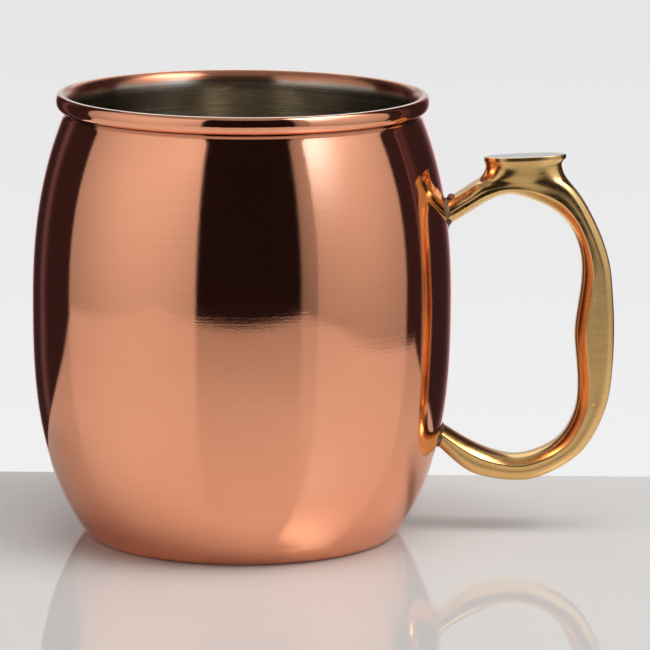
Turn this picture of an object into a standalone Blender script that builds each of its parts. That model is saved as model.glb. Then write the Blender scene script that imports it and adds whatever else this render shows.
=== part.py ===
"""Copper barrel mug: a spun copper shell with a wired rim, a steel lining and a brazed cast-brass handle.

The origin is the centre of the flat base, on the mug's axis. +Z is up and the handle points along +X.
Lengths in the tables below are millimetres, and MM turns them into Blender's metres.
"""

import math

import bmesh
import bpy
from mathutils import Vector

MM = 0.001

# Barrel: the outside of the copper sheet, as radii at heights
HEIGHT = 100.0  # base to the top of the rim
BASE_RADIUS = 35.3  # where the side would meet the table if the corner were sharp
BASE_CORNER = 1.6  # radius of that corner
BELLY_RADIUS = 47.3
BELLY_HEIGHT = 52.0
NECK_RADIUS = 39.7
NECK_HEIGHT = 96.0
LOWER_FULLNESS = 2.7  # powers of the barrel curve below and above the belly
UPPER_FULLNESS = 2.3

# Sheet metal and the rolled rim
COPPER_WALL = 0.7
LINING_WALL = 0.4
GAP = 0.3  # clearance between pieces that touch on the real mug
BEAD_RADIUS = 1.8  # section of the rolled rim
BEAD_RING_RADIUS = 40.0  # from the mug's axis to the middle of that section
CURL_START_DEG = 198.0  # where the wall runs into the roll, and where the roll closes on the neck
CURL_END_DEG = -90.0

# Resolution
AROUND = 48
BARREL_STEPS = 11
BARREL_START = 2.0  # first barrel point above the base corner, and last one above the neck
BARREL_END = 0.8
CORNER_STEPS = 3
CURL_STEPS = 8
WIRE_STEPS = 8

# Handle: (inner x, z), (outer x, z) of each station, from the upper foot over the crown to the lower foot
STATIONS = [
    ((47.7, 71.3), (47.0, 76.3)),  # upper foot
    ((51.9, 74.3), (49.8, 79.0)),
    ((56.9, 77.0), (53.9, 81.4)),  # back end of the thumb rest
    ((61.6, 78.1), (60.8, 82.4)),  # crown
    ((69.3, 75.5), (72.3, 81.5)),  # front end of the thumb rest
    ((74.4, 70.0), (78.2, 73.6)),
    ((76.5, 62.5), (82.4, 63.6)),
    ((76.4, 55.5), (83.8, 55.5)),
    ((75.3, 46.0), (84.4, 46.0)),  # palm swell
    ((76.1, 36.0), (83.7, 35.7)),
    ((75.8, 28.3), (81.8, 27.6)),
    ((72.4, 21.7), (76.9, 18.9)),  # heel of the grip
    ((66.8, 17.9), (68.4, 13.4)),
    ((61.0, 16.8), (61.0, 12.3)),  # lowest point
    ((53.8, 18.8), (51.9, 14.2)),
    ((47.2, 22.7), (46.0, 18.9)),  # lower foot
]
REST_FIRST, REST_LAST = 2, 4  # the stations under the thumb rest
RINGS_PER_STATION = 2
GRIP_DEPTH = 9.6  # handle's size across the mug's radius
FOOT_DEPTH = 8.8
FOOT_STATIONS = 2  # how many stations the foot takes to reach the grip's depth
INNER_CORNER = 1.1  # cut of the section's corners, inside the loop and outside it
OUTER_CORNER = 2.3
REST_CORNER = 0.9
LARGEST_CORNER = 0.4  # as a share of the section

# Thumb rest: centre and slope of its top, then (height over the top, half length, half depth) up its side
REST_CENTRE = (63.6, 86.0)
REST_SLOPE_DEG = 3.0
REST_LEVELS = [
    (-3.4, 9.1, 4.5),
    (-2.2, 9.0, 4.3),
    (-0.9, 9.9, 5.1),
    (0.0, 9.9, 5.1),
    (0.0, 8.9, 4.3),
]
REST_LIP_LEVEL = 3
LIP_CREASE = 0.6

# Brazed joints between each foot and the shell
BRAZE_SPREAD = 1.12  # how much wider than the foot
BRAZE_DEPTH = 3.0  # block length, before it is cut to the barrel

COPPER = ("copper", (0.86, 0.42, 0.27), 0.16)
STEEL = ("steel", (0.42, 0.40, 0.36), 0.30)
BRASS = ("brass", (0.80, 0.58, 0.28), 0.18)
FILLER = ("braze", (0.62, 0.55, 0.42), 0.35)


# ---------------------------------------------------------------- scene helpers


def clear_scene():
    for old in list(bpy.data.objects):
        bpy.data.objects.remove(old, do_unlink=True)


def new_collection(name):
    made = bpy.data.collections.new(name)
    bpy.context.scene.collection.children.link(made)
    return made


def metal(name, colour, roughness):
    material = bpy.data.materials.new(name)
    material.use_nodes = True
    shader = material.node_tree.nodes["Principled BSDF"]
    shader.inputs["Base Color"].default_value = (*colour, 1.0)
    shader.inputs["Metallic"].default_value = 1.0
    shader.inputs["Roughness"].default_value = roughness
    return material


def add_mesh(name, collection, material, vertices, edges=(), faces=()):
    mesh = bpy.data.meshes.new(name)
    mesh.from_pydata([Vector(v) * MM for v in vertices], edges, faces)
    made = bpy.data.objects.new(name, mesh)
    collection.objects.link(made)
    if material:
        mesh.materials.append(material)
    return made


def turned(name, collection, material, profile):
    """A closed solid from a profile of (radius, height) points that starts and ends on the axis."""
    points = [(radius, 0.0, height) for radius, height in profile]
    edges = [(i, i + 1) for i in range(len(points) - 1)]
    made = add_mesh(name, collection, material, points, edges)
    screw = made.modifiers.new("turn", "SCREW")
    screw.axis = "Z"
    screw.steps = AROUND
    screw.render_steps = AROUND
    screw.use_merge_vertices = True
    screw.merge_threshold = 0.00001
    screw.use_smooth_shade = True
    return made


# ---------------------------------------------------------------- barrel profile


def barrel_radius(height):
    """Outside radius of the barrel: a superellipse arc below the belly and another above it."""
    if height < BELLY_HEIGHT:
        span, end_radius, power = BELLY_HEIGHT, BASE_RADIUS, LOWER_FULLNESS
    else:
        span, end_radius, power = NECK_HEIGHT - BELLY_HEIGHT, NECK_RADIUS, UPPER_FULLNESS
    drop = 1 - (end_radius / BELLY_RADIUS) ** 2
    share = abs(height - BELLY_HEIGHT) / span
    return BELLY_RADIUS * math.sqrt(1 - drop * share**power)


def bead_point(radius, degrees):
    angle = math.radians(degrees)
    centre_height = HEIGHT - BEAD_RADIUS
    return (BEAD_RING_RADIUS + radius * math.cos(angle), centre_height + radius * math.sin(angle))


def base_corner():
    """The rounded corner between the flat base and the side, from the base outwards."""
    rise = 1.0
    lean = math.atan2(rise, barrel_radius(rise) - BASE_RADIUS)  # the side's slope at the table
    tangent = BASE_CORNER * math.tan(lean / 2)
    centre = (BASE_RADIUS - tangent, BASE_CORNER)
    angles = [lean * i / CORNER_STEPS for i in range(CORNER_STEPS + 1)]
    return [(centre[0] + BASE_CORNER * math.sin(a), centre[1] - BASE_CORNER * math.cos(a)) for a in angles]


def side():
    """The copper sheet's outer face below the roll, from the centre of the base up to the neck."""
    corner = base_corner()
    first = corner[-1][1] + BARREL_START
    climb = NECK_HEIGHT + BARREL_END - first
    heights = [first + climb * i / (BARREL_STEPS - 1) for i in range(BARREL_STEPS)]
    return [(0.0, 0.0), *corner, *((barrel_radius(h), h) for h in heights)]


def offset(points, distance):
    """An upward profile moved by a distance towards the axis; the first point stays on the axis."""
    moved = [(0.0, points[0][1] + distance)]
    for i in range(1, len(points)):
        before = Vector(points[i - 1])
        after = Vector(points[min(i + 1, len(points) - 1)])
        along = (after - before).normalized()
        moved.append((points[i][0] - distance * along.y, points[i][1] + distance * along.x))
    return moved


def roll(radius):
    """The rolled rim's section at a radius, from the wall over the top and down to the neck."""
    turn = CURL_END_DEG - CURL_START_DEG
    return [bead_point(radius, CURL_START_DEG + turn * i / CURL_STEPS) for i in range(CURL_STEPS + 1)]


def copper_profile():
    """Up the sheet's inner face and round the outside of the roll, then back down its outer face."""
    inner = offset(side(), COPPER_WALL) + roll(BEAD_RADIUS)
    outer = side() + roll(BEAD_RADIUS - COPPER_WALL)
    return inner + outer[::-1]


def lining_profile():
    """The lining, one gap inside the copper, up to the middle of the roll."""
    wall = side() + [bead_point(BEAD_RADIUS - COPPER_WALL, CURL_START_DEG)]
    inner = offset(wall, COPPER_WALL + GAP + LINING_WALL)
    outer = offset(wall, COPPER_WALL + GAP)
    return inner + outer[::-1]


# ---------------------------------------------------------------- handle


def spline(values, position):
    """Catmull-Rom value at a position counted in stations."""
    last = len(values) - 1
    i = min(int(position), last - 1)
    t = position - i
    p0, p1, p2, p3 = (Vector(values[min(max(i + k, 0), last)]) for k in (-1, 0, 1, 2))
    cubic = 2 * p1 + (p2 - p0) * t + (2 * p0 - 5 * p1 + 4 * p2 - p3) * t**2
    return 0.5 * (cubic + (3 * p1 - p0 - 3 * p2 + p3) * t**3)


def section(inner, outer, depth, outer_corner):
    """Twelve cage points round the handle: the inner face, the side at +Y, the outer face, the side at -Y."""
    half = depth / 2
    size = (outer - inner).length
    middle = size / 2
    outline = [
        (0.0, INNER_CORNER - half),
        (0.0, 0.0),
        (0.0, half - INNER_CORNER),
        (INNER_CORNER, half),
        (middle, half),
        (size - outer_corner, half),
        (size, half - outer_corner),
        (size, 0.0),
        (size, outer_corner - half),
        (size - outer_corner, -half),
        (middle, -half),
        (INNER_CORNER, -half),
    ]
    out = (outer - inner).normalized()
    points = []
    for across, y in outline:
        at = inner + out * across
        points.append((at.x, y, at.y))
    return points


OUTER_FACE = (6, 7, 8)  # places of the outer face's points in a section


def ease(share):
    return share * share * (3 - 2 * share)


def handle_rings():
    inners = [inner for inner, outer in STATIONS]
    outers = [outer for inner, outer in STATIONS]
    last = len(STATIONS) - 1
    rings = []
    for i in range(last * RINGS_PER_STATION + 1):
        position = i / RINGS_PER_STATION
        from_end = min(position, last - position)
        depth = FOOT_DEPTH + (GRIP_DEPTH - FOOT_DEPTH) * ease(min(from_end / FOOT_STATIONS, 1))
        off_rest = max(REST_FIRST - position, position - REST_LAST, 0)
        corner = REST_CORNER + (OUTER_CORNER - REST_CORNER) * ease(min(off_rest, 1))
        inner = spline(inners, position)
        outer = spline(outers, position)
        corner = min(corner, (outer - inner).length * LARGEST_CORNER)
        rings.append(section(inner, outer, depth, corner))
    return rings


def rest_point(level, along, across):
    """A point of the thumb rest; along and across run from -1 to 1 over its oval."""
    height, half_length, half_depth = level
    x = half_length * along * math.sqrt(1 - across**2 / 2)
    y = half_depth * across * math.sqrt(1 - along**2 / 2)
    slope = math.radians(REST_SLOPE_DEG)
    return Vector(
        (
            REST_CENTRE[0] + x * math.cos(slope) - height * math.sin(slope),
            y,
            REST_CENTRE[1] + x * math.sin(slope) + height * math.cos(slope),
        )
    )


def raise_thumb_rest(cage, faces, place, crease):
    """Pulls faces of the handle's outer side up, level by level; place holds each vertex's along and across."""
    for number, level in enumerate(REST_LEVELS):
        pulled = bmesh.ops.extrude_face_region(cage, geom=faces)["geom"]
        bmesh.ops.delete(cage, geom=faces, context="FACES")
        faces = [g for g in pulled if isinstance(g, bmesh.types.BMFace)]
        for vertex in {v for f in faces for v in f.verts}:
            vertex.co = rest_point(level, vertex[place].x, vertex[place].y)
        if number == REST_LIP_LEVEL:
            for edge in {e for f in faces for e in f.edges}:
                if any(f not in faces for f in edge.link_faces):
                    edge[crease] = LIP_CREASE


def handle_cage(name, collection, material):
    rings = handle_rings()
    count = len(rings[0])
    cage = bmesh.new()
    place = cage.verts.layers.float_vector.new("place_on_rest")
    crease = cage.edges.layers.float.new("crease_edge")
    loops = [[cage.verts.new(p) for p in ring] for ring in rings]
    first = REST_FIRST * RINGS_PER_STATION
    last = REST_LAST * RINGS_PER_STATION
    rest_faces = []
    for i, (a, b) in enumerate(zip(loops, loops[1:])):
        for k in range(count):
            face = cage.faces.new((a[k], a[(k + 1) % count], b[(k + 1) % count], b[k]))
            if first <= i < last and k in OUTER_FACE[:-1]:
                rest_faces.append(face)
    for i in range(first, last + 1):
        for k in OUTER_FACE:
            loops[i][k][place] = (2 * (i - first) / (last - first) - 1, OUTER_FACE[1] - k, 0.0)
    for end in (loops[0][::-1], loops[-1]):
        for edge in cage.faces.new(end).edges:
            edge[crease] = 1.0
    raise_thumb_rest(cage, rest_faces, place, crease)
    bmesh.ops.recalc_face_normals(cage, faces=cage.faces)
    bmesh.ops.scale(cage, vec=(MM, MM, MM), verts=cage.verts)
    mesh = bpy.data.meshes.new(name)
    cage.to_mesh(mesh)
    cage.free()
    mesh.materials.append(material)
    mesh.shade_smooth()
    made = bpy.data.objects.new(name, mesh)
    collection.objects.link(made)
    smooth = made.modifiers.new("smooth", "SUBSURF")
    smooth.levels = 1
    smooth.render_levels = 1
    return made


# ---------------------------------------------------------------- brazed joints


def braze_block(name, collection, material, foot, inward):
    """A block on the end of a foot, wider than it, that runs into the barrel, where the cutter trims it."""
    centre = sum((Vector(p) for p in foot), Vector()) / len(foot)
    near = [centre + (Vector(p) - centre) * BRAZE_SPREAD + inward * GAP for p in foot]
    far = [p + inward * BRAZE_DEPTH for p in near]
    count = len(foot)
    sides = [(k, (k + 1) % count, (k + 1) % count + count, k + count) for k in range(count)]
    ends = [tuple(range(count))[::-1], tuple(range(count, 2 * count))]
    made = add_mesh(name, collection, material, near + far, faces=sides + ends)
    shape = bmesh.new()
    shape.from_mesh(made.data)
    bmesh.ops.recalc_face_normals(shape, faces=shape.faces)
    shape.to_mesh(made.data)
    shape.free()
    return made


def cut(target, cutter):
    difference = target.modifiers.new("cut", "BOOLEAN")
    difference.operation = "DIFFERENCE"
    difference.solver = "EXACT"
    difference.object = cutter


# ---------------------------------------------------------------- the mug


def rim_wire(collection, material):
    bpy.ops.mesh.primitive_torus_add(
        location=(0, 0, (HEIGHT - BEAD_RADIUS) * MM),
        major_radius=BEAD_RING_RADIUS * MM,
        minor_radius=(BEAD_RADIUS - COPPER_WALL - GAP) * MM,
        major_segments=AROUND,
        minor_segments=WIRE_STEPS,
    )
    wire = bpy.context.object
    wire.name = "rim_wire"
    wire.data.materials.append(material)
    wire.data.shade_smooth()
    for holder in list(wire.users_collection):
        holder.objects.unlink(wire)
    collection.objects.link(wire)


def barrel_cutter(collection):
    """The barrel one gap larger all round, which trims the brazed joints."""
    cutter = turned("barrel_cutter", collection, None, [(0.0, HEIGHT)] + offset(side(), -GAP)[::-1])
    cutter.display_type = "WIRE"
    cutter.hide_render = True
    return cutter


def brazed_joints(collection, material, cutter):
    rings = handle_rings()
    for name, foot, next_ring in (
        ("upper_braze", rings[0], rings[1]),
        ("lower_braze", rings[-1], rings[-2]),
    ):
        foot_middle, next_middle = (sum((Vector(p) for p in r), Vector()) / len(r) for r in (foot, next_ring))
        inward = (foot_middle - next_middle).normalized()
        cut(braze_block(name, collection, material, foot, inward), cutter)


def build():
    clear_scene()
    parts = new_collection("copper_mug")
    guides = new_collection("cutters")
    copper, steel, brass, filler = (metal(*m) for m in (COPPER, STEEL, BRASS, FILLER))
    turned("copper_shell", parts, copper, copper_profile())
    turned("steel_lining", parts, steel, lining_profile())
    rim_wire(parts, steel)
    handle_cage("brass_handle", parts, brass)
    brazed_joints(parts, filler, barrel_cutter(guides))


build()
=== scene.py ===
"""Copper mug: fine meshes, materials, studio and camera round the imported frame.

Lengths in the constants are millimetres in the frame's axes: +Z up, the handle towards +X, the base at z = 0.
"""

import math

import bmesh
import bpy
from mathutils import Matrix, Vector, noise


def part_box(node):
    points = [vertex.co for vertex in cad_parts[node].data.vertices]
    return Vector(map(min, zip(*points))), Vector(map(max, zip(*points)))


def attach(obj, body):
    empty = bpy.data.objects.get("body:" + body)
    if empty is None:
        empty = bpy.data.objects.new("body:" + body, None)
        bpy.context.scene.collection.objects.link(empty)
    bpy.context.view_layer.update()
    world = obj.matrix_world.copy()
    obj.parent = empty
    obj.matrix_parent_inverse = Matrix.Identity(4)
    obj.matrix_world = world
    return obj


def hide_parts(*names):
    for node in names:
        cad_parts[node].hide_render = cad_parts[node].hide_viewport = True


MM = 0.001

# Barrel, as in the frame
COPPER_WALL = 0.7
LINING_WALL = 0.4
BASE_RADIUS = 35.3
BASE_CORNER = 1.6
BASE_DISH = 0.35  # how far the middle of the base stands clear of the table
DISH_EDGE = (26.0, 31.0)  # radii between which the dish runs out
BELLY_HEIGHT = 52.0
NECK_RADIUS = 39.7
NECK_HEIGHT = 96.0
LOWER_FULLNESS = 2.7  # the higher, the longer the wall stays upright before it turns in
UPPER_FULLNESS = 2.3
SIDE_START = 0.6  # height from the base's corner to the first point of the side
NECK_TOP = 96.8
FLARE = 0.5  # how far the neck turns out under the rolled rim
FLARE_FROM = 94.95  # height at which it begins
FLARE_RISE = 1.05  # height over which it is reached

# Rolled rim in section, as (radius, height): the sheet's visible skin from the inner side over the crest to
# the end of the curl, and the skin inside the roll from the wall to the same end
RIM_SKIN = [
    (39.06, 96.9),
    (39.16, 97.6),
    (39.36, 98.4),
    (39.62, 99.15),
    (39.9, 99.66),
    (40.24, 99.93),
    (40.68, 99.99),
    (41.1, 99.9),
    (41.45, 99.58),
    (41.68, 99.08),
    (41.79, 98.4),
    (41.77, 97.7),
    (41.6, 97.08),
    (41.28, 96.58),
    (40.86, 96.28),
    (40.5, 96.2),
]
RIM_CAVITY = [
    (39.9, 97.4),
    (39.95, 98.2),
    (40.25, 98.95),
    (40.65, 99.3),
    (41.0, 99.05),
    (41.15, 98.4),
    (41.1, 97.65),
    (40.85, 97.1),
    (40.52, 96.86),
]
WIRE_CENTRE = (40.55, 98.05)
WIRE_RADIUS = 0.55
WIRE_SIDES = 24

# Inner face of the lining from the neck to the crest of the rim
LINING_LIP = [
    (38.9, 95.07),
    (38.7, 95.58),
    (38.57, 96.1),
    (38.52, 96.7),
    (38.56, 97.4),
    (38.7, 98.1),
    (38.98, 98.8),
    (39.38, 99.38),
    (39.8, 99.74),
    (40.2, 99.915),
]
LIP_BLEND = 0.2  # how far below the lip's first point the lining's plain side stops
LINING_TOP = 5  # the lining ends at this point of the rim's skin
LINING_GAP = 0.02  # between the lining and the copper
LIP_LIFT = 0.006  # how far the lining stands over the copper along the rim

# How finely the turned pieces are made
AROUND = 288
BARREL_STEPS = 120
FLARE_STEPS = 18
RIM_STEPS = 6
SHARP_EDGE_DEG = 50

# Handle: (inner x, z), (outer x, z) of each station, from the upper foot over the crown to the lower foot
STATIONS = [
    ((47.7, 71.1), (46.0, 76.0)),
    ((51.9, 73.9), (49.6, 78.1)),
    ((56.9, 76.7), (53.6, 80.4)),
    ((61.6, 77.2), (61.6, 81.9)),
    ((69.3, 74.2), (72.0, 80.8)),
    ((74.2, 69.3), (78.0, 73.6)),
    ((76.4, 62.5), (82.2, 63.6)),
    ((76.3, 55.5), (83.45, 55.5)),
    ((75.2, 46.0), (83.96, 46.0)),
    ((76.0, 36.0), (83.55, 35.7)),
    ((75.6, 28.3), (81.95, 27.6)),
    ((72.3, 21.9), (77.05, 18.8)),
    ((66.8, 18.5), (68.4, 13.3)),
    ((61.0, 17.6), (61.0, 12.2)),
    ((54.0, 19.7), (51.9, 14.0)),
    ((47.5, 23.1), (46.0, 18.7)),
]
REST_FIRST = 2  # the thumb rest grows out of the stretch between these two stations
REST_LAST = 4
RINGS_PER_STATION = 2
GRIP_DEPTH = 9.6
FOOT_DEPTH = 8.8
FOOT_STATIONS = 2
FOOT_SINK = 0.35  # how far the feet reach into the copper
HANDLE_LEVELS = 3
SEARCHED = (-3.0, 12.0)  # the barrel's surface is looked for between these distances along an arm
HALVINGS = 40

# A section of the handle has 16 points, from the middle of its inner side round by +Y
RIDGES = (3, 13)
OUTER_FACE = (7, 8, 9)
UNDER_REST = range(4, 13)
RIDGE_CREASE = 0.45
INNER_SIDE = [(0.3, 0.45), (1.25, 0.78), (2.5, 0.985)]  # (mm in from the inner face, share of the half depth)
FULL_CHAMFER_SIZE = 7.0  # a bar thinner than this has its inner side scaled down
WIDEST_AT = 0.55  # share of the way to the outer side
OUTER_CORNER = 1.9
CORNER_START = (0.75, 0.99)  # share of the corner below the outer side, share of the half depth
CORNER_TURN = (0.12, 0.45)  # shares of the corner: below the outer side, in from the flank
SHOULDER_CORNER = 0.9  # how much softer the outer side is at the upper joint
LARGEST_CORNER = 0.46  # as a share of the bar's thickness
OUTER_BULGE = 0.2
SQUARE_STEPS = (1.7, 0.85, 0.0)  # how far below the outer side the flank's points lie under the thumb rest

REST_CENTRE = (63.4, 86.15)
REST_SLOPE_DEG = 2.5
REST_TILT = 0.045  # its top leans back by this slope
# Thumb rest: height over its centre, half length, half depth and shift towards the mug at each level
REST_LEVELS = [
    (-3.0, 9.4, 4.9, 0.4),
    (-1.9, 9.3, 4.99, 0.4),
    (-0.95, 10.1, 5.12, 0.05),
    (-0.15, 10.1, 5.11, 0.0),
    (0.0, 9.7, 4.6, 0.0),
]
REST_CREASES = {2: 0.55, 3: 0.5, 4: 0.3}  # crease of the edge round a level
REST_END = (0.5, 0.27)  # what a round end takes off its length and depth at the diagonal
REST_FLUSH = (3.1, 0.45, 1.05)  # middle, near and far reach of the stretch that is flush with its flanks
FLUSH_LEAN = 0.019  # inward lean of the flanks below the thumb rest, as a share of their half depth per mm

# Brazed fillets: (out from the foot's outline, height over the barrel) round the ring's section
FILLET = [
    (-0.3, 0.95),
    (0.03, 0.9),
    (0.08, 0.6),
    (0.2, 0.34),
    (0.42, 0.15),
    (0.72, 0.05),
    (1.0, -0.02),
    (0.9, -0.15),
    (-0.3, -0.15),
]
FILLET_STEPS = 6
FILLET_RIPPLE = 0.35  # how much its width varies along the joint
RIPPLES_PER_MM = 0.9
SOLDER_BEAD = 0.95
SOLDER_BEAD_AT = (46.85, -1.2, 76.5)
SOLDER_BEAD_STRETCH = (1.0, 1.25, 1.1)

# Colours. A pair is the two ends of a varying tone
COPPER_TONES = ((0.955, 0.402, 0.230), (0.985, 0.438, 0.262))
# Painted highlight: a paler copper along the crest of the rim, standing in for the light it catches
CREST_PAINTED_HIGHLIGHT = (0.97, 0.84, 0.74)
# Painted shade and reflection: a darker red copper under the rolled rim, for the rim's underside mirrored in
# the neck and the shade there
UNDER_RIM_PAINTED_SHADE = (0.60, 0.22, 0.12)
# Painted shade: near black in the crease where the curl meets the neck, for the shade that falls there
CREASE_PAINTED_SHADE = (0.10, 0.03, 0.015)
BRASS_TONES = ((0.83, 0.515, 0.195), (0.88, 0.57, 0.24))
# Painted highlight: pale grey on top of the thumb rest, for the pale surroundings mirrored there
REST_TOP_PAINTED_HIGHLIGHT = (0.74, 0.73, 0.68)
STEEL_TONES = ((0.52, 0.465, 0.385), (0.65, 0.585, 0.485))
# The rim's copper colour at the lining's lip, darkened as painted shade
LIP_COPPER_PAINTED_SHADE = (0.62, 0.26, 0.15)
WIRE_GREY = (0.45, 0.44, 0.42)
BRAZE_TONES = ((0.10, 0.065, 0.045), (0.32, 0.19, 0.12))
TABLE = (0.79, 0.77, 0.745)
WHITE = (1.0, 1.0, 1.0)
MAROON = (1.0, 0.6, 0.72)
DIM_ROSE = (1.0, 0.66, 0.8)
HOT_TINT = (0.66, 1.12, 1.6)

# Heights between which one look of the metal gives way to the next
# Where the painted highlight on the crest of the rim begins and ends
CREST_HIGHLIGHT_BAND = (99.88, 99.97)
# Where the painted shade and reflection under the rolled rim begins and where it ends
UNDER_RIM_SHADE_BEGINS = (94.9, 95.5)
UNDER_RIM_SHADE_ENDS = (96.1, 96.3)
CREASE_HEIGHT = 96.15
CREASE_REACH = (0.08, 0.3)
LIP_TURNS_BROWN = (97.7, 98.8)
LIP_WANDER = 0.8
# Heights over which the painted highlight on top of the thumb rest comes in
REST_TOP_HIGHLIGHT_BAND = (85.0, 85.3)

# Casting pits on the handle's near flank: place and reach
BRASS_PITS = [
    ((77.3, -4.9, 52.4), 0.75),
    ((75.6, -4.4, 39.6), 0.6),
    ((79.6, -4.8, 30.0), 0.4),
    ((57.5, -4.8, 15.8), 0.4),
]
PIT_DEPTH = 0.3
PIT_RAGGEDNESS = 0.3

# Camera
CAMERA_DISTANCE = 900.0  # in front of the mug's axis
CAMERA_HEIGHT = 219.4
CAMERA_PITCH = 10.833  # degrees, and so are the next two
CAMERA_YAW = 1.194
CAMERA_ROLL = 0.426
CAMERA_LENS = 224.59

# Table top
SLAB_BACK = 57.0
SLAB_FRONT = -400.0
SLAB_LEFT = -370.0
SLAB_RIGHT = 270.0
SLAB_THICKNESS = 18.0
SLAB_EDGE = 1.8
SLAB_TURN = -1.35  # degrees

# Light walls stand on a cylinder round the mug. These azimuths, in degrees from the camera's side towards the
# handle's, are where a wall begins or ends
WALL_RADIUS = 700.0
WALL_STEPS = 48
WALL_FOOT = -330.0
FLAG_TOP = 900.0  # the dark walls end here, with a lit one over each
WALL_TOP = 1600.0
BACK_LEFT = -162
LEFT = -105
FRONT_LEFT = -24
FRONT_RIGHT = 31
RIGHT = 40
HANDLE_SIDE = 98
BACK_RIGHT = 162

# Brighter spots on the walls: azimuth, height, reach in degrees, reach in mm, strength, and a tint of its own
LEFT_SPOTS = [(-57, 340, 42, 500, 0.59), (-32, 560, 14, 200, 0.22)]
RIGHT_SPOTS = [(66, 290, 42, 360, 0.50), (46, 480, 12, 150, 1.15, HOT_TINT), (64, 1180, 30, 330, 9.5)]
RIGHT_EDGE_SPOTS = [(39, 420, 9, 400, 0.3)]
RIGHT_LINES = [(112.5, 300, 0.4, 900, 0.22), (117, 300, 3, 900, 0.05), (165, 300, 8, 900, 0.5)]
LEFT_LINES = [(-137, 300, 3.5, 900, 0.10), (-164, 300, 4, 900, 0.4)]

# Flat lights: left, right, front and back of the level ones, and the corners of the one that leans
CEILING = (-900, 900, -900, 500)
CEILING_LAMP = (-300, 460, -820, 60)
LAMP_DROP = 60.0  # how far the lamp hangs below the ceiling
BACK_LIGHT = [(-450, 700, 320), (450, 700, 320), (450, 640, 900), (-450, 640, 900)]

# Strength of the surroundings by the height that a ray points to, from the lower part to the upper
BACKDROP = {"From Min": -0.25, "From Max": 0.30, "To Min": 0.895, "To Max": 0.48}


# ---------------------------------------------------------------- curves


def ease(share):
    share = min(max(share, 0.0), 1.0)
    return share * share * (3 - 2 * share)


def spline(values, position):
    """A smooth curve through the values, at a position that counts them."""
    last = len(values) - 1
    i = min(int(position), last - 1)
    t = position - i
    p0, p1, p2, p3 = (Vector(values[min(max(i + k, 0), last)]) for k in (-1, 0, 1, 2))
    cubic = 2 * p1 + (p2 - p0) * t + (2 * p0 - 5 * p1 + 4 * p2 - p3) * t**2
    return 0.5 * (cubic + (3 * p1 - p0 - 3 * p2 + p3) * t**3)


def smooth_path(points, steps=RIM_STEPS):
    count = len(points) - 1
    return [tuple(spline(points, i / steps)) for i in range(count * steps + 1)]


def smooth_loop(points, steps):
    """A closed cubic B-spline with the points as its control points."""
    count = len(points)
    curve = []
    for k in range(count):
        p0, p1, p2, p3 = (points[(k + j) % count] for j in (-1, 0, 1, 2))
        for i in range(steps):
            t = i / steps
            total = (1 - t) ** 3 * p0 + (3 * t**3 - 6 * t**2 + 4) * p1
            total += (-3 * t**3 + 3 * t**2 + 3 * t + 1) * p2
            curve.append((total + t**3 * p3) / 6)
    return curve


# ---------------------------------------------------------------- profile of the barrel


def barrel_radius(height):
    if height < BELLY_HEIGHT:
        span, end_radius, power = BELLY_HEIGHT, BASE_RADIUS, LOWER_FULLNESS
    else:
        span, end_radius, power = NECK_HEIGHT - BELLY_HEIGHT, NECK_RADIUS, UPPER_FULLNESS
    drop = 1 - (end_radius / BELLY_RADIUS) ** 2
    share = abs(height - BELLY_HEIGHT) / span
    return BELLY_RADIUS * math.sqrt(1 - drop * share**power)


def base_corner(steps=10):
    lean = math.atan2(1.0, barrel_radius(1.0) - BASE_RADIUS)
    tangent = BASE_CORNER * math.tan(lean / 2)
    centre = (BASE_RADIUS - tangent, BASE_CORNER)
    angles = [lean * i / steps for i in range(steps + 1)]
    return [(centre[0] + BASE_CORNER * math.sin(a), centre[1] - BASE_CORNER * math.cos(a)) for a in angles]


def base_disc(steps=24):
    """The base from the axis outwards, dished up a little inside its standing ring."""
    out = base_corner()[0][0]
    radii = [out * i / steps for i in range(steps)]
    run = DISH_EDGE[1] - DISH_EDGE[0]
    return [(radius, BASE_DISH * (1 - ease((radius - DISH_EDGE[0]) / run))) for radius in radii]


def side(flare=0.0):
    """Base and side of the barrel, with a flare where it turns out under the rolled rim."""
    corner = base_corner()
    first = corner[-1][1] + SIDE_START
    climb = FLARE_FROM - first
    heights = [first + climb * i / BARREL_STEPS for i in range(BARREL_STEPS)]
    heights += [FLARE_FROM + (NECK_TOP - FLARE_FROM) * i / FLARE_STEPS for i in range(FLARE_STEPS + 1)]
    turned_out = [flare * ease((h - FLARE_FROM) / FLARE_RISE) for h in heights]
    return base_disc() + corner + [(barrel_radius(h) + out, h) for h, out in zip(heights, turned_out)]


def offset(points, distance):
    """The profile moved inwards by a distance."""
    moved = [(0.0, points[0][1] + distance)]
    for i in range(1, len(points)):
        before = Vector(points[i - 1])
        after = Vector(points[min(i + 1, len(points) - 1)])
        along = (after - before).normalized()
        moved.append((points[i][0] - distance * along.y, points[i][1] + distance * along.x))
    return moved


def curl_end(steps=8):
    """The rounded edge of the sheet at the end of the curl, from the outside of the roll to its inside."""
    outside, inside = Vector(RIM_SKIN[-1]), Vector(RIM_CAVITY[-1])
    middle = (outside + inside) / 2
    turns = [-math.pi * i / steps for i in range(1, steps)]
    return [tuple(middle + Matrix.Rotation(turn, 2) @ (outside - middle)) for turn in turns]


# ---------------------------------------------------------------- turned pieces


def mesh_from(shape, name):
    mesh = bpy.data.meshes.new(name)
    shape.to_mesh(mesh)
    shape.free()
    return mesh


def smooth_mesh(shape, name):
    """The shape as a mesh that is shaded smooth, with its normals outwards."""
    bmesh.ops.recalc_face_normals(shape, faces=shape.faces)
    mesh = mesh_from(shape, name)
    mesh.shade_smooth()
    return mesh


def add_piece(name, mesh, material):
    obj = bpy.data.objects.new(name, mesh)
    bpy.context.scene.collection.objects.link(obj)
    obj.data.materials.append(material)
    return obj


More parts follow.
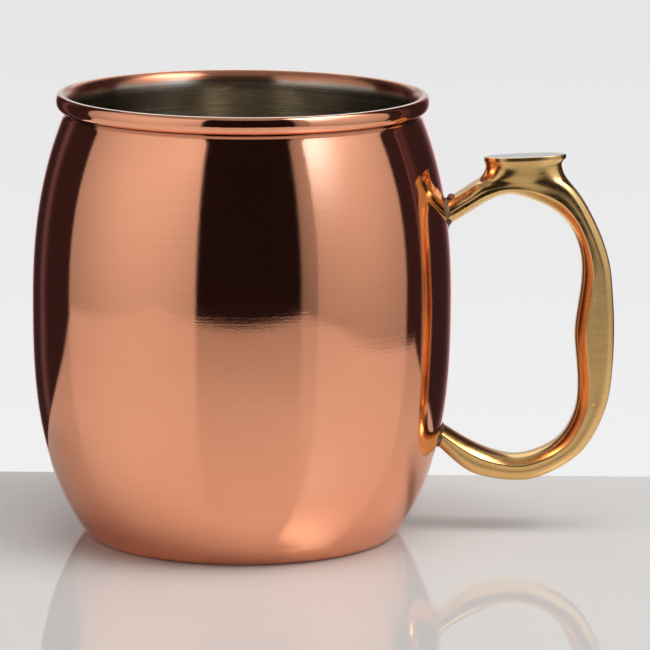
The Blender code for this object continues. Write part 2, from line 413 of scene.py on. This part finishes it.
def turned(name, profile, material):
    """A closed turned body from a profile of (radius, height), which may begin and end on the axis."""
    shape = bmesh.new()
    rings = []
    for radius, height in profile:
        if radius == 0:
            rings.append([shape.verts.new((0, 0, height * MM))])
            continue
        ring = []
        for k in range(AROUND):
            angle = 2 * math.pi * k / AROUND
            x, y = radius * math.cos(angle), radius * math.sin(angle)
            ring.append(shape.verts.new((x * MM, y * MM, height * MM)))
        rings.append(ring)
    pairs = list(zip(rings, rings[1:]))
    if len(rings[0]) > 1:
        pairs.append((rings[-1], rings[0]))
    for a, b in pairs:
        for k in range(AROUND):
            n = (k + 1) % AROUND
            corners = [a[k % len(a)], a[n % len(a)], b[n % len(b)], b[k % len(b)]]
            kept = list(dict.fromkeys(corners))
            if len(kept) > 2:
                shape.faces.new(kept)
    mesh = smooth_mesh(shape, name)
    mesh.set_sharp_from_angle(angle=math.radians(SHARP_EDGE_DEG))
    return add_piece(name, mesh, material)


def copper_body(material):
    """The sheet: its inner face, over the rolled rim to the end of the curl, and back down the outer face."""
    inner = offset(side(), COPPER_WALL) + smooth_path(RIM_SKIN) + curl_end()
    outer = side(FLARE) + smooth_path(RIM_CAVITY)
    return turned("copper_body", inner + outer[::-1], material)


def lining(material):
    """The lining lies on the copper and thins out towards the crest of the rim."""
    sheet = offset(side(), COPPER_WALL + LINING_GAP)
    lip = smooth_path(RIM_SKIN)[: LINING_TOP * RIM_STEPS + 1]
    sheet += [(radius - LINING_GAP, height + LIP_LIFT) for radius, height in lip]
    top = LINING_LIP[0][1] - LIP_BLEND
    lower = [point for point in offset(side(), COPPER_WALL + LINING_WALL) if point[1] < top]
    inner = lower + smooth_path(LINING_LIP)
    return turned("brushed_lining", inner + sheet[::-1], material)


def rim_core(material):
    """The wire inside the rolled rim."""
    out, up = WIRE_CENTRE
    angles = [2 * math.pi * i / WIRE_SIDES for i in range(WIRE_SIDES)]
    profile = [(out + WIRE_RADIUS * math.cos(a), up + WIRE_RADIUS * math.sin(a)) for a in angles]
    return turned("wire_core", profile, material)


# ---------------------------------------------------------------- handle


def onto_barrel(point, direction, height):
    """The point moved along a direction to a height over the barrel's surface, all in millimetres."""
    outside, inside = SEARCHED
    for _ in range(HALVINGS):
        middle = (inside + outside) / 2
        at = point + direction * middle
        if math.hypot(at.x, at.y) > barrel_radius(at.z):
            outside = middle
        else:
            inside = middle
    return point + direction * (outside - height)


def section(inner, outer, depth, corner, flush):
    """Sixteen points round the bar: a blunt inner side, a ridge, flat flanks and an outer side
    that is soft, or square and flush with the flanks under the thumb rest."""
    half = depth / 2
    size = (outer - inner).length
    chamfer = min(1.0, size / FULL_CHAMFER_SIZE)
    side_points = [(across * chamfer, half * share) for across, share in INNER_SIDE]
    side_points.append((size * WIDEST_AT, half))
    soft = [
        (corner * CORNER_START[0], half * CORNER_START[1]),
        (corner * CORNER_TURN[0], half - corner * CORNER_TURN[1]),
        (0.0, half - corner),
    ]
    for (down, y), square_down in zip(soft, SQUARE_STEPS):
        side_points.append((size - down + (down - square_down) * flush, y + (half - y) * flush))
    side_points = [(across, y * (1 - FLUSH_LEAN * flush * (size - across))) for across, y in side_points]
    outline = [(0.0, 0.0)] + side_points + [(size + OUTER_BULGE * (1 - flush), 0.0)]
    outline += [(across, -y) for across, y in reversed(side_points)]
    out = (outer - inner).normalized()
    points = []
    for across, y in outline:
        at = inner + out * across
        points.append(Vector((at.x, y, at.y)))
    return points


def fitted(rings, rounds=3):
    """Control rings whose smoothed surface passes through the given rings."""
    cage = [list(ring) for ring in rings]
    count = len(rings[0])
    for _ in range(rounds):
        nudged = [list(ring) for ring in cage]
        for i in range(1, len(rings) - 1):
            for k in range(count):
                n = (k + 1) % count
                near = cage[i - 1][k] + cage[i + 1][k] + cage[i][k - 1] + cage[i][n]
                far = cage[i - 1][k - 1] + cage[i - 1][n] + cage[i + 1][k - 1] + cage[i + 1][n]
                smoothed = (16 * cage[i][k] + 4 * near + far) / 36
                nudged[i][k] = cage[i][k] + rings[i][k] - smoothed
        cage = nudged
    return cage


def inward(end, following):
    """The direction in which an end section carries on into the barrel."""
    middle, next_middle = (sum(ring, Vector()) / len(ring) for ring in (end, following))
    return (middle - next_middle).normalized()


def foot_ring(end, following):
    """An end section carried on along the arm until it is sunk in the barrel's wall."""
    along = inward(end, following)
    return [onto_barrel(point, along, -FOOT_SINK) for point in end]


def handle_rings():
    """Control rings of the whole bar, from the upper foot to the lower one."""
    inners = [inner for inner, outer in STATIONS]
    outers = [outer for inner, outer in STATIONS]
    last = len(STATIONS) - 1
    rings = []
    flushes = []
    for i in range(last * RINGS_PER_STATION + 1):
        position = i / RINGS_PER_STATION
        from_end = min(position, last - position)
        depth = FOOT_DEPTH + (GRIP_DEPTH - FOOT_DEPTH) * ease(min(from_end / FOOT_STATIONS, 1))
        middle, near, far = REST_FLUSH
        flush = 1 - ease((abs(position - middle) - near) / (far - near))
        inner = spline(inners, position)
        outer = spline(outers, position)
        corner = OUTER_CORNER + SHOULDER_CORNER * (1 - ease(position / REST_FIRST))
        corner = min(corner, (outer - inner).length * LARGEST_CORNER)
        rings.append(section(inner, outer, depth, corner, flush))
        flushes.append(flush)
    for ring, cage, flush in zip(rings, fitted(rings), flushes):
        for k in range(len(ring)):
            ring[k] = cage[k].lerp(ring[k], flush if k in UNDER_REST else 0.0)
    rings[0] = foot_ring(rings[0], rings[1])
    rings[-1] = foot_ring(rings[-1], rings[-2])
    return rings


def rest_point(level, along, across):
    """A point of the thumb rest at a level, from its place between -1 and 1 along and across it."""
    height, half_length, half_depth, shift = level
    x = along * (half_length - REST_END[0] * half_depth * across**2) - shift
    y = across * half_depth * (1 - REST_END[1] * along**4)
    slope = math.radians(REST_SLOPE_DEG)
    return Vector(
        (
            REST_CENTRE[0] + x * math.cos(slope) - height * math.sin(slope),
            y,
            REST_CENTRE[1] + x * math.sin(slope) + height * math.cos(slope) - REST_TILT * y,
        )
    )


def raise_thumb_rest(cage, faces, place, crease):
    """Pull the arm's outer faces up through the levels of the thumb rest."""
    for number, level in enumerate(REST_LEVELS):
        pulled = bmesh.ops.extrude_face_region(cage, geom=faces)["geom"]
        bmesh.ops.delete(cage, geom=faces, context="FACES")
        faces = [g for g in pulled if isinstance(g, bmesh.types.BMFace)]
        for vertex in {v for f in faces for v in f.verts}:
            vertex.co = rest_point(level, vertex[place].x, vertex[place].y)
        for edge in {e for f in faces for e in f.edges}:
            if any(f not in faces for f in edge.link_faces):
                edge[crease] = REST_CREASES.get(number, 0.0)


def handle(rings, material):
    """The casting: a coarse cage through the rings, with the thumb rest raised from it, then smoothed."""
    count = len(rings[0])
    cage = bmesh.new()
    place = cage.verts.layers.float_vector.new("place_on_rest")
    crease = cage.edges.layers.float.new("crease_edge")
    loops = [[cage.verts.new(p) for p in ring] for ring in rings]
    first = REST_FIRST * RINGS_PER_STATION
    last = REST_LAST * RINGS_PER_STATION
    rest_faces = []
    for i, (a, b) in enumerate(zip(loops, loops[1:])):
        for k in range(count):
            face = cage.faces.new((a[k], a[(k + 1) % count], b[(k + 1) % count], b[k]))
            if first <= i < last and k in OUTER_FACE[:-1]:
                rest_faces.append(face)
    for i in range(first, last + 1):
        for k in OUTER_FACE:
            loops[i][k][place] = (2 * (i - first) / (last - first) - 1, OUTER_FACE[1] - k, 0.0)
    for a, b in zip(loops, loops[1:]):
        for k in RIDGES:
            cage.edges.get((a[k], b[k]))[crease] = RIDGE_CREASE
    for end in (loops[0][::-1], loops[-1]):
        for edge in cage.faces.new(end).edges:
            edge[crease] = 1.0
    raise_thumb_rest(cage, rest_faces, place, crease)
    bmesh.ops.scale(cage, vec=(MM, MM, MM), verts=cage.verts)
    made = add_piece("cast_handle", smooth_mesh(cage, "cast_handle"), material)
    smooth = made.modifiers.new("smooth", "SUBSURF")
    smooth.levels = HANDLE_LEVELS
    smooth.render_levels = HANDLE_LEVELS
    return made


# ---------------------------------------------------------------- brazed joints


def braze(name, foot, following, material, bead=None):
    """A low concave fillet round a foot, from the foot's sides down onto the barrel."""
    along = inward(foot, following)
    outline = smooth_loop(foot, FILLET_STEPS)
    middle = sum(outline, Vector()) / len(outline)
    shape = bmesh.new()
    rings = []
    for out, height in FILLET:
        ring = []
        for k, point in enumerate(outline):
            tangent = outline[(k + 1) % len(outline)] - outline[k - 1]
            away = tangent.cross(along).normalized()
            if away.dot(point - middle) < 0:
                away = -away
            ripple = 1 + FILLET_RIPPLE * noise.noise(point * RIPPLES_PER_MM)
            ring.append(shape.verts.new(onto_barrel(point + away * out * ripple, along, height) * MM))
        rings.append(ring)
    for a, b in zip(rings, rings[1:] + rings[:1]):
        for k in range(len(a)):
            n = (k + 1) % len(a)
            shape.faces.new((a[k], a[n], b[n], b[k]))
    if bead:
        place = Matrix.Translation(Vector(bead) * MM) @ Matrix.Diagonal((*SOLDER_BEAD_STRETCH, 1.0))
        radius = SOLDER_BEAD * MM
        bmesh.ops.create_uvsphere(shape, u_segments=32, v_segments=20, radius=radius, matrix=place)
    return add_piece(name, smooth_mesh(shape, name), material)


# ---------------------------------------------------------------- materials


class Nodes:
    """Short calls for building one node tree."""

    def __init__(self, name):
        self.material = bpy.data.materials.new(name)
        self.material.use_nodes = True
        self.tree = self.material.node_tree
        self.shader = self.tree.nodes["Principled BSDF"]

    def add(self, kind, inputs=None, **settings):
        node = self.tree.nodes.new(kind)
        for key, value in settings.items():
            setattr(node, key, value)
        for key, value in (inputs or {}).items():
            self.put(node.inputs[key], value)
        return node

    def put(self, socket, value):
        if isinstance(value, bpy.types.NodeSocket):
            self.tree.links.new(value, socket)
        else:
            socket.default_value = value

    def set(self, **values):
        """Set inputs of the shader, with _ for each space in a name."""
        for key, value in values.items():
            self.put(self.shader.inputs[key.replace("_", " ")], value)

    def math(self, operation, *values):
        node = self.add("ShaderNodeMath", operation=operation)
        for i, value in enumerate(values):
            self.put(node.inputs[i], value)
        return node.outputs[0]

    def position(self):
        """The place on the object, in metres."""
        return self.add("ShaderNodeTexCoord").outputs["Object"]

    def upward(self, vector):
        return self.add("ShaderNodeSeparateXYZ", {0: vector}).outputs["Z"]

    def noise(self, where, scale, detail=2.0, rough=0.5):
        inputs = {"Vector": where, "Scale": scale, "Detail": detail, "Roughness": rough}
        return self.add("ShaderNodeTexNoise", inputs).outputs["Fac"]

    def brushed(self, where, across, up, detail, rough):
        """Noise with one scale across the axis and a finer one up it, so that it runs in level lines."""
        place = self.add("ShaderNodeMapping", {"Vector": where, "Scale": (across, across, up)})
        return self.noise(place.outputs["Vector"], 1.0, detail, rough)

    def ramp(self, value, low, high, out_low=0.0, out_high=1.0):
        inputs = {"Value": value, "From Min": low, "From Max": high, "To Min": out_low, "To Max": out_high}
        return self.add("ShaderNodeMapRange", inputs).outputs["Result"]

    def between(self, metres, band):
        """0 below a band given in millimetres, 1 above it."""
        return self.ramp(metres, band[0] * MM, band[1] * MM)

    def mix(self, share, a, b):
        node = self.add("ShaderNodeMix", data_type="RGBA")
        self.put(node.inputs["Factor"], share)
        self.put(node.inputs[6], a)
        self.put(node.inputs[7], b)
        return node.outputs[2]

    def tones(self, share, pair):
        return self.mix(share, rgba(pair[0]), rgba(pair[1]))

    def bump(self, height, distance, strength, below=None):
        """Relief of a distance in millimetres, on top of the relief below it."""
        inputs = {"Height": height, "Distance": distance * MM, "Strength": strength}
        if below is not None:
            inputs["Normal"] = below
        return self.add("ShaderNodeBump", inputs).outputs["Normal"]

    def glow(self, colour, strength):
        """Make the surface a light."""
        emission = self.add("ShaderNodeEmission", {"Color": colour, "Strength": strength})
        self.tree.links.new(emission.outputs[0], self.tree.nodes["Material Output"].inputs["Surface"])


def rgba(colour):
    return (*colour, 1.0)


def copper_material():
    """Polished, with faint spin lines, a painted highlight along the crest, painted shade and reflection in a
    band under the rolled rim, and a painted line of shade in the crease.
    """
    n = Nodes("polished_copper")
    where = n.position()
    height = n.upward(where)
    tone = n.noise(where, scale=22.0, detail=3.0, rough=0.6)
    spin = n.brushed(where, across=5.0, up=1500.0, detail=3.0, rough=0.7)
    share = n.math("MULTIPLY", n.math("ADD", n.ramp(tone, 0.35, 0.65), n.ramp(spin, 0.36, 0.62)), 0.5)
    colour = n.tones(share, COPPER_TONES)
    # Painted highlight: the crest of the rim turns pale, for the light it catches
    colour = n.mix(n.between(height, CREST_HIGHLIGHT_BAND), colour, rgba(CREST_PAINTED_HIGHLIGHT))
    # Painted shade and reflection: a darker red band under the rolled rim, for the rim's underside mirrored
    # in the neck and the shade there
    shaded_under_rim = n.mix(n.between(height, UNDER_RIM_SHADE_BEGINS), colour, rgba(UNDER_RIM_PAINTED_SHADE))
    colour = n.mix(n.between(height, UNDER_RIM_SHADE_ENDS), shaded_under_rim, colour)
    # Painted shade: a dark line in the crease where the curl meets the neck, for the shade that falls there
    from_crease = n.math("ABSOLUTE", n.math("SUBTRACT", height, CREASE_HEIGHT * MM))
    colour = n.mix(n.between(from_crease, CREASE_REACH), rgba(CREASE_PAINTED_SHADE), colour)
    grain = n.noise(where, scale=2600.0, detail=2.0, rough=0.6)
    waves = n.noise(where, scale=40.0, detail=1.0, rough=0.4)
    relief = n.bump(spin, distance=0.007, strength=0.55)
    relief = n.bump(grain, distance=0.006, strength=1.0, below=relief)
    relief = n.bump(waves, distance=0.1, strength=0.8, below=relief)
    smear = n.brushed(where, across=30.0, up=500.0, detail=2.0, rough=0.6)
    roughness = n.ramp(smear, 0.3, 0.75, out_low=0.045, out_high=0.075)
    n.set(Base_Color=colour, Metallic=1.0, Roughness=roughness, Normal=relief)
    return n.material


def brass_material():
    """A satin casting with a few pits, and a painted highlight on top of the thumb rest."""
    n = Nodes("cast_brass")
    where = n.position()
    tone = n.noise(where, scale=60.0, detail=4.0, rough=0.6)
    colour = n.tones(n.ramp(tone, 0.35, 0.65), BRASS_TONES)
    # Painted highlight: the upward faces on top of the thumb rest turn pale grey, for the pale surroundings
    # mirrored there
    facing_up = n.upward(n.add("ShaderNodeNewGeometry").outputs["Normal"])
    high_up = n.between(n.upward(where), REST_TOP_HIGHLIGHT_BAND)
    top_highlight = n.math("MULTIPLY", n.ramp(facing_up, 0.95, 0.985), high_up)
    colour = n.mix(top_highlight, colour, rgba(REST_TOP_PAINTED_HIGHLIGHT))
    swell = n.noise(where, scale=110.0)
    brushed = n.brushed(where, across=260.0, up=1500.0, detail=3.0, rough=0.65)
    relief = n.bump(swell, distance=0.3, strength=0.25)
    relief = n.bump(brushed, distance=0.02, strength=0.35, below=relief)
    ragged = n.math("MULTIPLY", n.noise(where, scale=2500.0), PIT_RAGGEDNESS * MM)
    for pit, reach in BRASS_PITS:
        apart = n.add("ShaderNodeVectorMath", {0: where, 1: Vector(pit) * MM}, operation="DISTANCE")
        away = n.math("ADD", apart.outputs["Value"], ragged)
        depth = n.between(away, (reach / 2, reach))
        relief = n.bump(depth, distance=PIT_DEPTH, strength=0.7, below=relief)
    roughness = n.ramp(brushed, 0.3, 0.7, out_low=0.16, out_high=0.26)
    n.set(Base_Color=colour, Metallic=1.0, Roughness=roughness, Normal=relief)
    return n.material


def steel_material():
    """Brushed round the axis, and turning at the lip to the rim's copper colour, darkened there as painted
    shade.
    """
    n = Nodes("brushed_steel")
    where = n.position()
    brush = n.brushed(where, across=14.0, up=1500.0, detail=4.0, rough=0.75)
    blotch = n.brushed(where, across=60.0, up=260.0, detail=3.0, rough=0.6)
    metal = n.tones(n.ramp(blotch, 0.3, 0.7), STEEL_TONES)
    # At the lip the lining takes the rim's copper colour, darkened as painted shade
    wander = n.math("MULTIPLY", n.noise(where, scale=120.0), LIP_WANDER * MM)
    at_lip = n.between(n.math("ADD", n.upward(where), wander), LIP_TURNS_BROWN)
    colour = n.mix(at_lip, metal, rgba(LIP_COPPER_PAINTED_SHADE))
    lines = n.bump(brush, distance=0.03, strength=0.4)
    roughness = n.ramp(brush, 0.3, 0.7, out_low=0.2, out_high=0.3)
    around = n.add("ShaderNodeTangent", direction_type="RADIAL", axis="Z").outputs["Tangent"]
    n.set(Base_Color=colour, Metallic=1.0, Roughness=roughness, Normal=lines)
    n.set(Anisotropic=0.9, Anisotropic_Rotation=0.25, Tangent=around)
    return n.material


def wire_material():
    n = Nodes("drawn_wire")
    roughness = n.ramp(n.noise(n.position(), scale=400.0), 0.3, 0.7, out_low=0.3, out_high=0.45)
    n.set(Base_Color=rgba(WIRE_GREY), Metallic=1.0, Roughness=roughness)
    return n.material


def braze_material():
    """Dull and dark, with a rough skin."""
    n = Nodes("brazing")
    where = n.position()
    tone = n.noise(where, scale=900.0, detail=4.0, rough=0.6)
    colour = n.tones(n.ramp(tone, 0.35, 0.65), BRAZE_TONES)
    skin = n.bump(n.noise(where, scale=1500.0, detail=3.0, rough=0.6), distance=0.08, strength=0.6)
    roughness = n.ramp(tone, 0.3, 0.7, out_low=0.42, out_high=0.55)
    n.set(Base_Color=colour, Metallic=0.5, Roughness=roughness, Normal=skin, Specular_IOR_Level=0.2)
    return n.material


# ---------------------------------------------------------------- studio


def stage_object(name, mesh, material):
    made = bpy.data.objects.new(name, mesh)
    bpy.context.scene.collection.objects.link(made)
    mesh.materials.append(material)
    return made


def slab():
    """A glossy pale table top under the mug, with its back edge just behind it."""
    shape = bmesh.new()
    size = Vector((SLAB_RIGHT - SLAB_LEFT, SLAB_BACK - SLAB_FRONT, SLAB_THICKNESS)) * MM
    middle = Vector((SLAB_RIGHT + SLAB_LEFT, SLAB_BACK + SLAB_FRONT, -SLAB_THICKNESS)) * MM / 2
    turn = Matrix.Rotation(math.radians(SLAB_TURN), 4, "Z")
    place = turn @ Matrix.Translation(middle) @ Matrix.Diagonal((*size, 1.0))
    bmesh.ops.create_cube(shape, size=1.0, matrix=place)
    n = Nodes("gloss_table")
    n.set(Base_Color=rgba(TABLE), Roughness=0.03, Specular_IOR_Level=0.65)
    made = stage_object("table_top", mesh_from(shape, "table_top"), n.material)
    bevel = made.modifiers.new("edge", "BEVEL")
    bevel.width = SLAB_EDGE * MM
    bevel.segments = 4


def light_wall(name, azimuths, heights, glow, spots=(), colour=WHITE):
    """A curved light between two azimuths and two heights, unseen by the camera.

    glow is its light all over, and each spot adds more light round its place.
    """
    low, high = heights
    from_azimuth, to_azimuth = azimuths
    sweep = to_azimuth - from_azimuth
    shape = bmesh.new()
    layer = shape.loops.layers.uv.new("place")
    rows = []
    for i in range(WALL_STEPS + 1):
        turn = math.radians(from_azimuth + sweep * i / WALL_STEPS)
        x, y = WALL_RADIUS * math.sin(turn), -WALL_RADIUS * math.cos(turn)
        rows.append([shape.verts.new(Vector((x, y, z)) * MM) for z in heights])
    for i in range(WALL_STEPS):
        face = shape.faces.new((rows[i][0], rows[i + 1][0], rows[i + 1][1], rows[i][1]))
        for loop, (du, dv) in zip(face.loops, ((0, 0), (1, 0), (1, 1), (0, 1))):
            loop[layer].uv = ((i + du) / WALL_STEPS, dv)
    n = Nodes(name)
    place = n.add("ShaderNodeSeparateXYZ", {0: n.add("ShaderNodeUVMap", uv_map="place").outputs["UV"]})
    light = [c * glow for c in colour]
    for azimuth, height, reach_round, reach_up, strength, *tint in spots:
        u = (azimuth - from_azimuth) / sweep
        v = (height - low) / (high - low)
        du = n.math("DIVIDE", n.math("SUBTRACT", place.outputs["X"], u), reach_round / sweep)
        dv = n.math("DIVIDE", n.math("SUBTRACT", place.outputs["Y"], v), reach_up / (high - low))
        squares = n.math("ADD", n.math("MULTIPLY", du, du), n.math("MULTIPLY", dv, dv))
        share = n.math("POWER", 0.5, squares)
        shade = [c * strength for c in (tint[0] if tint else colour)]
        added = n.add("ShaderNodeVectorMath", {0: shade, "Scale": share}, operation="SCALE").outputs["Vector"]
        light = n.add("ShaderNodeVectorMath", {0: light, 1: added}, operation="ADD").outputs["Vector"]
    n.glow(light if spots else rgba(light), 1.0)
    made = stage_object(name, mesh_from(shape, name), n.material)
    made.visible_camera = False


def card(name, corners, strength, mirrored=True):
    """A flat light, unseen by the camera. If it isn't mirrored, it doesn't show in the metal either."""
    mesh = bpy.data.meshes.new(name)
    mesh.from_pydata([Vector(corner) * MM for corner in corners], [], [(0, 1, 2, 3)])
    n = Nodes(name)
    n.glow(rgba(WHITE), strength)
    made = stage_object(name, mesh, n.material)
    made.visible_camera = False
    made.visible_glossy = mirrored


def level(extent, height):
    """Corners of a level card."""
    left, right, front, back = extent
    return [(left, front, height), (right, front, height), (right, back, height), (left, back, height)]


def backdrop():
    """Pale surroundings, a little brighter low down."""
    world = bpy.data.worlds.new("studio")
    bpy.context.scene.world = world
    world.use_nodes = True
    nodes, links = world.node_tree.nodes, world.node_tree.links
    split = nodes.new("ShaderNodeSeparateXYZ")
    links.new(nodes.new("ShaderNodeTexCoord").outputs["Generated"], split.inputs[0])
    shade = nodes.new("ShaderNodeMapRange")
    for key, value in BACKDROP.items():
        shade.inputs[key].default_value = value
    links.new(split.outputs["Z"], shade.inputs["Value"])
    links.new(shade.outputs["Result"], nodes["Background"].inputs["Strength"])
    nodes["Background"].inputs["Color"].default_value = rgba(WHITE)


def studio():
    backdrop()
    slab()
    whole = (WALL_FOOT, WALL_TOP)
    lower = (WALL_FOOT, FLAG_TOP)
    upper = (FLAG_TOP, WALL_TOP)
    light_wall("left_light", (LEFT, FRONT_LEFT), whole, 0.22, LEFT_SPOTS)
    light_wall("right_light", (RIGHT, HANDLE_SIDE), whole, 0.20, RIGHT_SPOTS)
    light_wall("right_edge", (FRONT_RIGHT, RIGHT), whole, 0.12, RIGHT_EDGE_SPOTS)
    light_wall("front_dark", (FRONT_LEFT, FRONT_RIGHT), lower, 0.013, colour=DIM_ROSE)
    light_wall("front_upper", (FRONT_LEFT, FRONT_RIGHT), upper, 0.42)
    light_wall("right_dark", (HANDLE_SIDE, BACK_RIGHT), lower, 0.036, RIGHT_LINES, MAROON)
    light_wall("right_upper", (HANDLE_SIDE, BACK_RIGHT), upper, 0.30)
    light_wall("left_dark", (BACK_LEFT, LEFT), lower, 0.033, LEFT_LINES, MAROON)
    light_wall("left_upper", (BACK_LEFT, LEFT), upper, 0.30)
    card("overhead", level(CEILING, WALL_TOP), 0.32)
    card("overhead_lamp", level(CEILING_LAMP, WALL_TOP - LAMP_DROP), 4.3, mirrored=False)
    card("back_light", BACK_LIGHT, 1.2)


def camera():
    data = bpy.data.cameras.new("camera")
    data.lens = CAMERA_LENS
    data.sensor_width = 36.0
    data.clip_start = 0.01
    data.clip_end = 20.0
    made = bpy.data.objects.new("camera", data)
    bpy.context.scene.collection.objects.link(made)
    aim = (
        Matrix.Rotation(math.radians(-CAMERA_YAW), 4, "Z")
        @ Matrix.Rotation(math.radians(90 - CAMERA_PITCH), 4, "X")
        @ Matrix.Rotation(math.radians(CAMERA_ROLL), 4, "Z")
    )
    made.matrix_world = Matrix.Translation(Vector((0, -CAMERA_DISTANCE, CAMERA_HEIGHT)) * MM) @ aim
    bpy.context.scene.camera = made
    bpy.context.scene.view_settings.view_transform = "Standard"


# ---------------------------------------------------------------- the mug

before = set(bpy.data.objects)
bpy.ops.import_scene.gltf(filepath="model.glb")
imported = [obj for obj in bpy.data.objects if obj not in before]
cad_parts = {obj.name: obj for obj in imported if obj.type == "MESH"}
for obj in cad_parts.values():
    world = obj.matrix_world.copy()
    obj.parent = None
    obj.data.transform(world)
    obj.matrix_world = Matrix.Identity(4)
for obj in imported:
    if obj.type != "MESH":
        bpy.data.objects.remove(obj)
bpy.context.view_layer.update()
shell_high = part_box("copper_shell")[1]
BELLY_RADIUS = shell_high.x / MM

filler = braze_material()
rings = handle_rings()
pieces = [
    (copper_body(copper_material()), "copper_shell"),
    (lining(steel_material()), "steel_lining"),
    (rim_core(wire_material()), "rim_wire"),
    (handle(rings, brass_material()), "brass_handle"),
    (braze("upper_fillet", rings[0], rings[1], filler, SOLDER_BEAD_AT), "upper_braze"),
    (braze("lower_fillet", rings[-1], rings[-2], filler), "lower_braze"),
]
for piece, node in pieces:
    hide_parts(node)
    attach(piece, "root")

studio()
camera()
